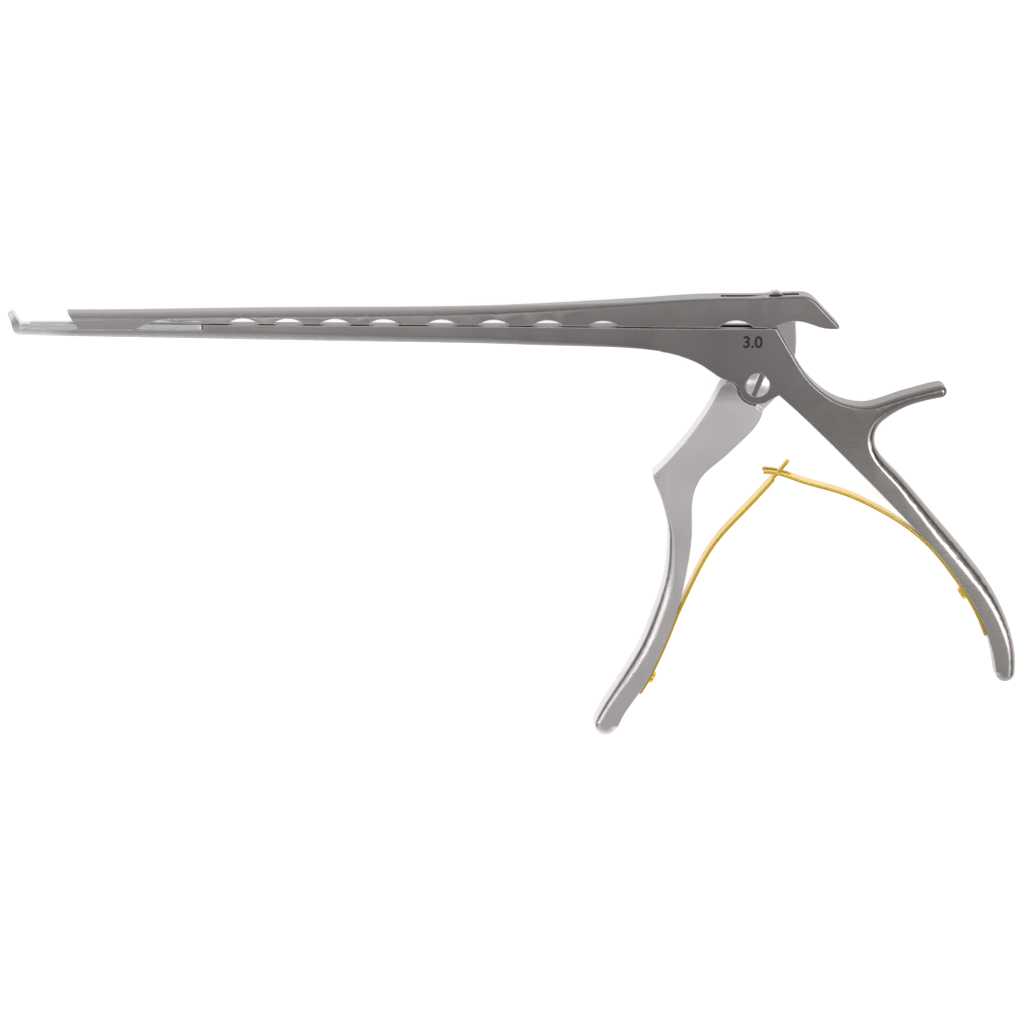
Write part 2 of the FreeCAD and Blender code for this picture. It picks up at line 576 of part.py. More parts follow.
def front_handle():
    """The trigger handle: a full-thickness grip with a thin arm."""
    boss_front, boss_rear = boss_ends()
    recess = BOSS_RADIUS + SIDE_GAP
    crest = (-9.0, -0.45)
    elbow = (-25.6, -23.2)
    shoulder = (0.0, -5.75)
    step_low = (boss_front[0] - SIDE_GAP, boss_front[1] - SIDE_GAP)
    step_middle = (STEP_MIDDLE[0] - SIDE_GAP, STEP_MIDDLE[1] - SIDE_GAP)
    step_high = (STEP_END[0] - SIDE_GAP, STEP_END[1] - SIDE_GAP)
    neck_low, front_slope = (-21.6, -40.0), (-0.3, -8.0)
    grip_middle, grip_slope = (-24.4, -56.3), (-2.7, -8.0)
    grip_end, end_slope = (-39.3, -86.5), (-1.6, -3.4)
    upper = curve(crest, (-13.0, -7.9), (-18.6, -15.7), elbow)
    neck = curve(elbow, (-24.0, -27.7), (-22.4, -33.0), neck_low, start=(0.6, -3.0), end=front_slope)
    middle = curve(neck_low, (-22.1, -47.0), grip_middle, start=front_slope, end=grip_slope)
    lower = curve(grip_middle, (-28.1, -66.3), (-34.0, -77.0), grip_end, start=grip_slope, end=end_slope)
    bottom, heading = turn(grip_end, end_slope, FRONT_GRIP_INNER[-1])
    inner = curve(*FRONT_GRIP_INNER[::-1])
    outline = upper + neck + middle + lower + bottom + inner
    outline += line(FRONT_GRIP_INNER[0], shoulder, (-1.6, -2.0), step_low)
    outline += arc(step_low, step_middle, step_high) + line(step_high, crest)
    rounds = [(neck[0], EDGE_ROUND, NECK_ROUND), (middle[0], NECK_ROUND, GRIP_ROUND)]
    rounds.append((lower[0], GRIP_ROUND, GRIP_END_ROUND))
    rounds.append((bottom[0], GRIP_END_ROUND, GRIP_END_ROUND))
    body = soften(plate(outline, FRAME_THICK), HALF, rounds)
    body = body.cut(disc(0.0, 0.0, recess, TALL))
    body = body.fuse(plate(arm_outline(), ARM_THICK))
    body = body.cut(disc(0.0, 0.0, PIVOT_RADIUS + RUN_GAP, TALL))
    body = body.cut(disc(PIN_X, PIN_Y, PIN_RADIUS, TALL))
    depth = SPRING_SCREW_DEPTH + SEAT_GAP
    hole = SPRING_SCREW_RADIUS + SEAT_GAP
    return body.cut(screw_bar(FRONT_GRIP_INNER, FRONT_SCREW_PLACE, 1.0, hole, -depth, 2.0))


def pivot_screw():
    """The slotted screw on which the trigger handle turns."""
    head_low = HALF - PIVOT_HEAD_SUNK
    shank = Part.makeCylinder(PIVOT_RADIUS, head_low + HALF, at(0, 0, -HALF))
    head = Part.makeCylinder(PIVOT_HEAD_RADIUS, PIVOT_HEAD_SUNK + PIVOT_HEAD_PROUD, at(0, 0, head_low))
    top = HALF + PIVOT_HEAD_PROUD
    dome_radius = (PIVOT_HEAD_RADIUS ** 2 + PIVOT_HEAD_DOME ** 2) / (2.0 * PIVOT_HEAD_DOME)
    head = head.common(Part.makeSphere(dome_radius, at(0, 0, top - dome_radius)))
    corner = at(-TALL / 2.0, -DRIVER_SLOT_WIDTH / 2.0, top - DRIVER_SLOT_DEPTH)
    slot = Part.makeBox(TALL, DRIVER_SLOT_WIDTH, TALL, corner)
    slot.rotate(at(0, 0), at(0, 0, 1), DRIVER_SLOT_TURN)
    return shank.fuse(head).cut(slot).removeSplitter()


def drive_pin():
    """The cross pin in the arm's end that pushes the slide."""
    return disc(PIN_X, PIN_Y, PIN_RADIUS, ARM_THICK + 2.0 * PIN_REACH)


def ribbon(places, thick, width):
    """A flat strip that follows the places, with its middle line through them."""
    spline = Part.BSplineCurve()
    spline.interpolate([at(x, y) for x, y in places])
    left = []
    right = []
    steps = 3 * len(places)
    for step in range(steps + 1):
        along = spline.FirstParameter + (spline.LastParameter - spline.FirstParameter) * step / steps
        here = spline.value(along)
        ahead = spline.tangent(along)[0]
        aside = at(-ahead.y, ahead.x) * (thick / 2.0)
        left.append((here.x + aside.x, here.y + aside.y))
        right.append((here.x - aside.x, here.y - aside.y))
    outline = curve(*left) + line(left[-1], right[-1]) + curve(*right[::-1]) + line(right[0], left[0])
    return plate(outline, width)


def foot_on(inner, near, side):
    """The place on an inner edge nearest to near, and the direction off the edge on one side."""
    spline = Part.BSplineCurve()
    spline.interpolate([at(x, y) for x, y in inner])
    along = spline.parameter(at(*near))
    ahead = spline.tangent(along)[0]
    aside = at(-ahead.y, ahead.x)
    if aside.x * side < 0:
        aside = aside * -1.0
    return spline.value(along), aside


def beside(inner, places, side, gap):
    """Places on an inner edge, moved off it by the gap."""
    moved = []
    for place in places:
        foot, aside = foot_on(inner, place, side)
        moved.append((foot.x + aside.x * gap, foot.y + aside.y * gap))
    return moved


def screw_bar(inner, near, side, radius, low, high):
    """A round bar square to an inner edge, between two heights above the edge."""
    foot, aside = foot_on(inner, near, side)
    return Part.makeCylinder(radius, high - low, foot + aside * low, aside)


def between(first, last, count):
    """Places in a straight row from first to last."""
    shares = [step / (count - 1) for step in range(count)]
    run = last[0] - first[0]
    rise = last[1] - first[1]
    return [(first[0] + run * share, first[1] + rise * share) for share in shares]


def rear_spring_places():
    """The middle line of the rear leaf spring, from its free end to its foot."""
    foot = between(REAR_SPRING_LEAVES, REAR_SPRING_FOOT, 6)
    return list(REAR_SPRING_FREE) + beside(REAR_GRIP_INNER, foot, -1.0, SPRING_STAND)


def front_spring_places():
    """The middle line of the front leaf spring, from its free end to its foot."""
    foot = between(FRONT_SPRING_LEAVES, FRONT_SPRING_FOOT, 6)
    return list(FRONT_SPRING_FREE) + beside(FRONT_GRIP_INNER, foot, 1.0, SPRING_STAND)


def rear_leaf_spring():
    """The rear leaf spring, forked at its free end for the other spring's tongue."""
    strip = ribbon(rear_spring_places(), SPRING_THICK, SPRING_WIDTH)
    root = FORK_ROOT_X
    fork = block(-20.0, root, -40.0, 0.0, FORK_SLOT_WIDTH)
    fork = fork.fuse(Part.makeCylinder(FORK_SLOT_WIDTH / 2.0, 40.0, at(root, -40.0, 0), at(0, 1, 0)))
    hole = screw_bar(REAR_GRIP_INNER, REAR_SCREW_PLACE, -1.0, SPRING_SCREW_RADIUS + RUN_GAP, -2.0, 4.0)
    return strip.cut(fork).cut(hole)


def front_leaf_spring():
    """The front leaf spring, narrowed to a tongue that lies in the other spring's fork."""
    strip = ribbon(front_spring_places(), SPRING_THICK, SPRING_WIDTH)
    for side in (-1, 1):
        trim = Part.makeBox(20.0, 20.0, SPRING_WIDTH, at(0.0, 0.0, -SPRING_WIDTH / 2.0))
        trim.translate(at(0, 0, side * (SPRING_WIDTH + TONGUE_WIDTH) / 2.0))
        trim.rotate(at(0, 0), at(0, 0, 1), TONGUE_CUT_TURN)
        trim.translate(at(*TONGUE_ROOT))
        strip = strip.cut(trim)
    hole = screw_bar(FRONT_GRIP_INNER, FRONT_SCREW_PLACE, 1.0, SPRING_SCREW_RADIUS + RUN_GAP, -2.0, 4.0)
    return strip.cut(hole)


def spring_screw(inner, near, side):
    """The screw that holds a leaf spring to a handle, with its slotted head."""
    seat = SPRING_STAND + SPRING_THICK / 2.0 + SPRING_SCREW_SEAT
    top = seat + SPRING_SCREW_HEAD_HEIGHT
    shank = screw_bar(inner, near, side, SPRING_SCREW_RADIUS, -SPRING_SCREW_DEPTH, seat)
    head = screw_bar(inner, near, side, SPRING_SCREW_HEAD_RADIUS, seat, top)
    foot, aside = foot_on(inner, near, side)
    crown = foot + aside * top
    rim = [edge for edge in head.Edges if abs((edge.CenterOfMass - crown).Length) < 1e-6]
    head = head.makeFillet(0.3, rim)
    slot = Part.makeBox(6.0, 1.0, 0.5, at(-3.0, -0.5, -0.25))
    slot.Placement = FreeCAD.Placement(crown, FreeCAD.Rotation(at(1, 0, 0), aside)).multiply(slot.Placement)
    return shank.fuse(head).cut(slot)


def rear_spring_screw():
    return spring_screw(REAR_GRIP_INNER, REAR_SCREW_PLACE, -1.0)


def front_spring_screw():
    return spring_screw(FRONT_GRIP_INNER, FRONT_SCREW_PLACE, 1.0)


def release_lever():
    """The release lever in the slide's top, on its cross pin."""
    low = LEVER_UNDERSIDE_Y
    button_front = BUTTON_CENTRE_X - BUTTON_LENGTH / 2.0
    heel = (LEVER_PIVOT_X, low - 0.1)
    neck = (LEVER_PIVOT_X, low + 0.4)
    outline = line(heel, (LEVER_END_X, low), (LEVER_END_X, LEVER_TOP_Y), (button_front, LEVER_TOP_Y))
    outline += arc((button_front, LEVER_TOP_Y), (-3.6, low + LEVER_BAR_THICK), neck) + line(neck, heel)
    eye = disc(LEVER_PIVOT_X, LEVER_PIVOT_Y, LEVER_EYE_RADIUS, LEVER_WIDTH)
    lever = plate(outline, LEVER_WIDTH).fuse(eye)
    lever = lever.cut(disc(LEVER_PIVOT_X, LEVER_PIVOT_Y, LEVER_PIN_RADIUS + SEAT_GAP, TALL))
    foot = at(BUTTON_CENTRE_X, low - 1.0, 0)
    rivet = Part.makeCylinder(BUTTON_STEM_RADIUS + SEAT_GAP, 4.0, foot, at(0, 1, 0))
    return lever.cut(rivet)


def release_button():
    """The domed, serrated button riveted to the lever."""
    half = BUTTON_LENGTH / 2.0
    left = (BUTTON_CENTRE_X - half, LEVER_TOP_Y)
    right = (BUTTON_CENTRE_X + half, LEVER_TOP_Y)
    dome = plate(arc(left, (BUTTON_CENTRE_X, BUTTON_TOP_Y), right) + line(right, left), LEVER_WIDTH)
    rise = BUTTON_TOP_Y - LEVER_TOP_Y
    radius = (half * half + rise * rise) / (2.0 * rise)
    for count in range(BUTTON_GROOVES):
        lean = math.radians(-30.0 + 60.0 * count / (BUTTON_GROOVES - 1))
        groove_x = BUTTON_CENTRE_X + radius * math.sin(lean)
        groove_y = BUTTON_TOP_Y - radius + radius * math.cos(lean)
        dome = dome.cut(disc(groove_x, groove_y, BUTTON_GROOVE_RADIUS, TALL))
    foot = at(BUTTON_CENTRE_X, LEVER_UNDERSIDE_Y, 0)
    stem = Part.makeCylinder(BUTTON_STEM_RADIUS, LEVER_TOP_Y - LEVER_UNDERSIDE_Y, foot, at(0, 1, 0))
    return dome.fuse(stem)


def lever_pin():
    """The cross pin of the release lever."""
    return disc(LEVER_PIVOT_X, LEVER_PIVOT_Y, LEVER_PIN_RADIUS, LEVER_PIN_LENGTH)


def lever_spring():
    """The small bowed leaf that lifts the release lever."""
    foot = LEVER_POCKET_FLOOR_Y + LEVER_SPRING_THICK
    crest = LEVER_UNDERSIDE_Y - 0.1 - LEVER_SPRING_THICK
    return ribbon([(-6.6, foot), (-3.2, crest), (0.2, foot)], LEVER_SPRING_THICK, LEVER_WIDTH - 0.6)


PIECES = {
    "frame": frame,
    "upper_slide": upper_slide,
    "front_handle": front_handle,
    "pivot_screw": pivot_screw,
    "drive_pin": drive_pin,
    "front_leaf_spring": front_leaf_spring,
    "rear_leaf_spring": rear_leaf_spring,
    "front_spring_screw": front_spring_screw,
    "rear_spring_screw": rear_spring_screw,
    "release_lever": release_lever,
    "release_button": release_button,
    "lever_pin": lever_pin,
    "lever_spring": lever_spring,
}


def main():
    """Makes every piece, sets the model on its origin and writes one file for each."""
    os.makedirs("parts", exist_ok=True)
    shapes = {name: make() for name, make in PIECES.items()}
    box = Part.makeCompound(list(shapes.values())).optimalBoundingBox()
    shift = at(-(box.XMin + box.XMax) / 2.0, -(box.YMin + box.YMax) / 2.0, -box.ZMin)
    for name, shape in shapes.items():
        shape.translate(shift)
        shape.exportStep(os.path.join("parts", name + ".step"))
        print(name, "valid" if shape.isValid() else "NOT VALID", len(shape.Solids), round(shape.Volume, 1))
    print("pivot at", round(shift.x, 4), round(shift.y, 4), round(shift.z, 4))


main()
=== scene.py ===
"""Dresses the bone rongeur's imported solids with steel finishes, sprung leaves and studio light."""
import logging
import math
from dataclasses import dataclass, field
from enum import Enum
from typing import Any

import bmesh
import bpy
from mathutils import Matrix, Vector


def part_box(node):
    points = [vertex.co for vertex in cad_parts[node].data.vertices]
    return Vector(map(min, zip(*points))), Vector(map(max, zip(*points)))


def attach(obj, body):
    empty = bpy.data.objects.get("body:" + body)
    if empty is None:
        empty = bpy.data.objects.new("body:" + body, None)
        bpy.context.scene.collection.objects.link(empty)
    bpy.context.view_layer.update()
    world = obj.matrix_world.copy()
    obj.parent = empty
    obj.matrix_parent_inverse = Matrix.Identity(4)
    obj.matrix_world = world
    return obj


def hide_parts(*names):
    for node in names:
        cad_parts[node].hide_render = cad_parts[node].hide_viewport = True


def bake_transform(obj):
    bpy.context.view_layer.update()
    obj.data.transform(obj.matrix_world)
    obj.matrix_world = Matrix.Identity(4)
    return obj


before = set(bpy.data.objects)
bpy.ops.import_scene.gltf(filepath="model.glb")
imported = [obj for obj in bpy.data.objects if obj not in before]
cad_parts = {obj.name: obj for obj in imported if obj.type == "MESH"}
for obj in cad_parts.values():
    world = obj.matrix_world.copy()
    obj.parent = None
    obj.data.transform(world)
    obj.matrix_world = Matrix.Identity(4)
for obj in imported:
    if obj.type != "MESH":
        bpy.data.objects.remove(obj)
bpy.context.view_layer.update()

LOG = logging.getLogger("rongeur")
MILLIMETRE = 0.001
EVEN = (1.0, 1.0, 1.0)

# The finishes' noises: how fine and how detailed they are, and the span of their values that is used.
CLOUDS_PER_METRE = 90.0
CLOUD_DETAIL = 4.0
CLOUD_SPAN = (0.35, 0.65)
MIST_PER_METRE = 55.0
MIST_DETAIL = 1.0
MIST_SPAN = (0.15, 0.85)
GRAIN_DETAIL = 1.0
GRAIN_SPAN = (0.3, 0.7)
GRAIN_SHARE = 0.4
GRAIN_HEIGHT = 0.05

# Painted highlights on edges and on the back's ridge: how alike the rounded and the flat normal are at an
# edge, and the normals of the ridge.
EDGE_SAMPLES = 6
EDGE_LIKENESS = (0.86, 0.99)
RIDGE_LEAN = (0.93, 0.965)
RIDGE_FLAT = (0.988, 0.998)
RIDGE_BACK = (0.07, 0.13)
BACK_HEADING = (0.95, 0.3, 0.0)

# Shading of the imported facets.
WELD_REACH = 0.002
SHARP_ANGLE = 28.0
FLAT_WEIGHT = 90


class GrainLay(Enum):
    """The way the finishing marks run on a surface."""

    ALONG_SHAFT = (0.03, 1.0, 1.0)
    ACROSS_SHAFT = (1.0, 0.04, 1.0)
    ROUND = (1.0, 1.0, 1.0)


def pivot_place() -> Vector:
    """Gives the pivot screw's axis at the underside.

    Returns:
        The place in metres in the row frame.
    """
    low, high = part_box("pivot_screw")
    middle = (low + high) / 2.0
    return Vector((middle.x, middle.y, 0.0))


def from_pivot(x: float, y: float, z: float) -> Vector:
    """Turns a place in millimetres from the pivot's axis into the row frame.

    Args:
        x: Millimetres along the shaft, towards the thumb rest.
        y: Millimetres towards the upper slide.
        z: Millimetres above the surface that the instrument lies on.

    Returns:
        The place in metres in the row frame.
    """
    return pivot_place() + Vector((x, y, z)) * MILLIMETRE


class NodeSketch:
    """Builds a node tree from short calls."""

    def __init__(self, tree: bpy.types.NodeTree) -> None:
        """Empties the tree.

        Args:
            tree: The node tree of a material or of the world.
        """
        self.tree = tree
        tree.nodes.clear()

    def add(self, kind: str, **settings: Any) -> bpy.types.Node:
        """Adds a node and sets its properties.

        Args:
            kind: Blender's name of the node type.
            settings: Properties of the node.

        Returns:
            The new node.
        """
        node = self.tree.nodes.new(kind)
        for name, value in settings.items():
            setattr(node, name, value)
        return node

    def link(self, source: bpy.types.NodeSocket, target: bpy.types.NodeSocket) -> None:
        """Joins an output to an input."""
        self.tree.links.new(source, target)

    def ramp(
        self, source: bpy.types.NodeSocket, low: float, high: float, start: float, end: float
    ) -> bpy.types.NodeSocket:
        """Maps a value from one range to another.

        Args:
            source: The value.
            low: Lowest input.
            high: Highest input.
            start: Output at the lowest input.
            end: Output at the highest input.

        Returns:
            The mapped value.
        """
        node = self.add("ShaderNodeMapRange", clamp=True)
        self.link(source, node.inputs["Value"])
        for name, value in (("From Min", low), ("From Max", high), ("To Min", start), ("To Max", end)):
            node.inputs[name].default_value = value
        return node.outputs["Result"]

    def blend(self, share: bpy.types.NodeSocket, first: Any, second: Any) -> bpy.types.NodeSocket:
        """Mixes two colours.

        Args:
            share: The share of the second colour.
            first: A colour, or the output that gives it.
            second: A colour, or the output that gives it.

        Returns:
            The mixed colour.
        """
        node = self.add("ShaderNodeMix", data_type="RGBA")
        self.link(share, node.inputs["Factor"])
        for name, colour in (("A", first), ("B", second)):
            if isinstance(colour, tuple):
                node.inputs[name].default_value = (*colour, 1.0)
            else:
                self.link(colour, node.inputs[name])
        return node.outputs["Result"]

    def all_of(self, *shares: bpy.types.NodeSocket) -> bpy.types.NodeSocket:
        """Multiplies shares, so that the result holds only where all of them do.

        Args:
            shares: Values from 0 to 1.

        Returns:
            Their product.
        """
        total = shares[0]
        for share in shares[1:]:
            both = self.add("ShaderNodeMath", operation="MULTIPLY")
            self.link(total, both.inputs[0])
            self.link(share, both.inputs[1])
            total = both.outputs[0]
        return total

    def band(
        self, source: bpy.types.NodeSocket, low: float, high: float, soft: float
    ) -> bpy.types.NodeSocket:
        """Marks the values between two limits.

        Args:
            source: The value.
            low: Lower limit.
            high: Upper limit.
            soft: Width of the soft edges inside the limits.

        Returns:
            1 between the limits and 0 outside.
        """
        above = self.ramp(source, low, low + soft, 0.0, 1.0)
        below = self.ramp(source, high - soft, high, 1.0, 0.0)
        return self.all_of(above, below)

    def noise(
        self, vector: bpy.types.NodeSocket, scale: float, detail: float, stretch: tuple[float, float, float]
    ) -> bpy.types.NodeSocket:
        """Adds a stretched noise.

        Args:
            vector: The coordinates.
            scale: Patterns per metre.
            detail: Octaves.
            stretch: Scale factors along X, Y and Z.

        Returns:
            The noise's value.
        """
        mapping = self.add("ShaderNodeMapping")
        mapping.inputs["Scale"].default_value = stretch
        self.link(vector, mapping.inputs["Vector"])
        node = self.add("ShaderNodeTexNoise")
        node.inputs["Scale"].default_value = scale
        node.inputs["Detail"].default_value = detail
        self.link(mapping.outputs["Vector"], node.inputs["Vector"])
        return node.outputs["Fac"]


@dataclass(frozen=True)
class ToneShift:
    """A gradual change of tone along one axis, used here for painted light and painted shade.

    Attributes:
        colour: The tone at the far end.
        axis: The axis that the change runs along.
        start: Where it starts, in millimetres from the pivot's axis.
        full: Where it is full, in the same measure.
        share: How much of the tone is taken where it is full.
    """

    colour: tuple[float, float, float]
    axis: str
    start: float
    full: float
    share: float = 1.0

    def over(
        self, sketch: NodeSketch, place: bpy.types.NodeSocket, colour: bpy.types.NodeSocket
    ) -> bpy.types.NodeSocket:
        """Lays the change over a colour.

        Args:
            sketch: The material's nodes.
            place: The place on the piece.
            colour: The colour without the change.

        Returns:
            The colour with the change.
        """
        parts = sketch.add("ShaderNodeSeparateXYZ")
        sketch.link(place, parts.inputs[0])
        number = "XYZ".index(self.axis)
        first = from_pivot(self.start, self.start, self.start)[number]
        last = from_pivot(self.full, self.full, self.full)[number]
        held = sketch.ramp(parts.outputs[self.axis], first, last, 0.0, self.share)
        return sketch.blend(held, colour, self.colour)


@dataclass(frozen=True)
class SteelFinish:
    """A brushed or polished metal finish.

    Attributes:
        name: The material's name.
        light: The lighter of its two tones.
        dark: The darker one.
        smooth: The lowest roughness.
        rough: The highest roughness.
        lay: The way that the brush marks run.
        grain_per_metre: How fine they are.
        grain_depth: How strongly they show, from 0 to 1.
        edge_highlight: How much of the painted highlight's tone the sharp edges take.
        highlight_tone: The painted highlight's tone on the sharp edges and the back's ridge.
        edge_reach: Radius of the edges' rounding in the shading, in millimetres.
        ridge_highlight: How much of the painted highlight's tone the back's ridge takes.
        shifts: Gradual changes of tone, which paint light and shade.
    """

    name: str
    light: tuple[float, float, float]
    dark: tuple[float, float, float]
    smooth: float
    rough: float
    lay: GrainLay = GrainLay.ALONG_SHAFT
    grain_per_metre: float = 1500.0
    grain_depth: float = 0.10
    # Painted highlight: sharp edges take a light tone.
    edge_highlight: float = 0.5
    highlight_tone: tuple[float, float, float] = (0.9, 0.89, 0.88)
    edge_reach: float = 0.4
    ridge_highlight: float = 0.0
    shifts: tuple[ToneShift, ...] = ()

    def tone(
        self, sketch: NodeSketch, grain: bpy.types.NodeSocket, clouds: bpy.types.NodeSocket
    ) -> bpy.types.NodeSocket:
        """Mixes the metal's light and dark tones by the grain and the clouds.

        Args:
            sketch: The material's nodes.
            grain: The fine stretched noise.
            clouds: The soft noise.

        Returns:
            The colour.
        """
        total = sketch.add("ShaderNodeMath", operation="ADD")
        sketch.link(sketch.ramp(grain, *GRAIN_SPAN, 0.0, GRAIN_SHARE), total.inputs[0])
        sketch.link(sketch.ramp(clouds, *CLOUD_SPAN, 0.0, 1.0 - GRAIN_SHARE), total.inputs[1])
        return sketch.blend(total.outputs[0], self.dark, self.light)

    def rounded(self, sketch: NodeSketch) -> tuple[bpy.types.NodeSocket, bpy.types.NodeSocket]:
        """Rounds the edges in the shading and finds how near an edge a place is.

        Args:
            sketch: The material's nodes.

        Returns:
            The rounded normal and the share of painted highlight on edges and the ridge, from 0 on a flat
            to edge_highlight at an edge.
        """
        bevel = sketch.add("ShaderNodeBevel", samples=EDGE_SAMPLES)
        bevel.inputs["Radius"].default_value = self.edge_reach * MILLIMETRE
        flat = sketch.add("ShaderNodeNewGeometry")
        likeness = sketch.add("ShaderNodeVectorMath", operation="DOT_PRODUCT")
        sketch.link(bevel.outputs["Normal"], likeness.inputs[0])
        sketch.link(flat.outputs["Normal"], likeness.inputs[1])
        # Painted highlight at the edges, where the rounded normal leaves the flat one.
        painted_highlight = sketch.ramp(likeness.outputs["Value"], *EDGE_LIKENESS, self.edge_highlight, 0.0)
        most = sketch.add("ShaderNodeMath", operation="MAXIMUM")
        sketch.link(painted_highlight, most.inputs[0])
        sketch.link(self.ridge(sketch, bevel.outputs["Normal"]), most.inputs[1])
        return bevel.outputs["Normal"], most.outputs[0]

    def ridge(self, sketch: NodeSketch, normal: bpy.types.NodeSocket) -> bpy.types.NodeSocket:
        """Finds the ridge beside the upper flats along the instrument's back, where a highlight is painted.

        Args:
            sketch: The material's nodes.
            normal: The rounded normal.

        Returns:
            The share of painted highlight, which is 0 where the finish paints none on the ridge.
        """
        parts = sketch.add("ShaderNodeSeparateXYZ")
        sketch.link(normal, parts.inputs[0])
        leaning = sketch.ramp(parts.outputs["Z"], *RIDGE_LEAN, 0.0, 1.0)
        off_flat = sketch.ramp(parts.outputs["Z"], *RIDGE_FLAT, 1.0, 0.0)
        facing = sketch.add("ShaderNodeVectorMath", operation="DOT_PRODUCT")
        facing.inputs[1].default_value = BACK_HEADING
        sketch.link(normal, facing.inputs[0])
        # Painted highlight on surfaces that lean towards the back's heading.
        back = sketch.ramp(facing.outputs["Value"], *RIDGE_BACK, 0.0, self.ridge_highlight)
        return sketch.all_of(leaning, off_flat, back)

    def make(self) -> bpy.types.Material:
        """Makes the material.

        Returns:
            The material with grain, cloudy tone, painted highlights on the edges and uneven roughness.
        """
        material = bpy.data.materials.new(self.name)
        material.use_nodes = True
        sketch = NodeSketch(material.node_tree)
        place = sketch.add("ShaderNodeTexCoord").outputs["Object"]
        grain = sketch.noise(place, self.grain_per_metre, GRAIN_DETAIL, self.lay.value)
        clouds = sketch.noise(place, CLOUDS_PER_METRE, CLOUD_DETAIL, EVEN)
        mist = sketch.noise(place, MIST_PER_METRE, MIST_DETAIL, EVEN)
        normal, painted_highlight = self.rounded(sketch)
        bump = sketch.add("ShaderNodeBump")
        bump.inputs["Strength"].default_value = self.grain_depth
        bump.inputs["Distance"].default_value = GRAIN_HEIGHT * MILLIMETRE
        sketch.link(grain, bump.inputs["Height"])
        sketch.link(normal, bump.inputs["Normal"])
        shader = sketch.add("ShaderNodeBsdfPrincipled")
        shader.inputs["Metallic"].default_value = 1.0
        colour = self.tone(sketch, grain, clouds)
        for shift in self.shifts:
            colour = shift.over(sketch, place, colour)
        colour = self.dressed(sketch, place, colour)
        # Painted highlight: edges and the ridge take the light highlight tone.
        sketch.link(sketch.blend(painted_highlight, colour, self.highlight_tone), shader.inputs["Base Color"])
        uneven = sketch.ramp(mist, *MIST_SPAN, self.smooth, self.rough)
        sketch.link(uneven, shader.inputs["Roughness"])
        sketch.link(bump.outputs["Normal"], shader.inputs["Normal"])
        output = sketch.add("ShaderNodeOutputMaterial")
        sketch.link(shader.outputs["BSDF"], output.inputs["Surface"])
        return material

    def dressed(
        self, sketch: NodeSketch, place: bpy.types.NodeSocket, colour: bpy.types.NodeSocket
    ) -> bpy.types.NodeSocket:
        """Leaves the colour as it is, for finishes that are the same all over.

        Args:
            sketch: The material's nodes. Not used.
            place: The place on the piece. Not used.
            colour: The metal's colour.

        Returns:
            The colour.
        """
        return colour


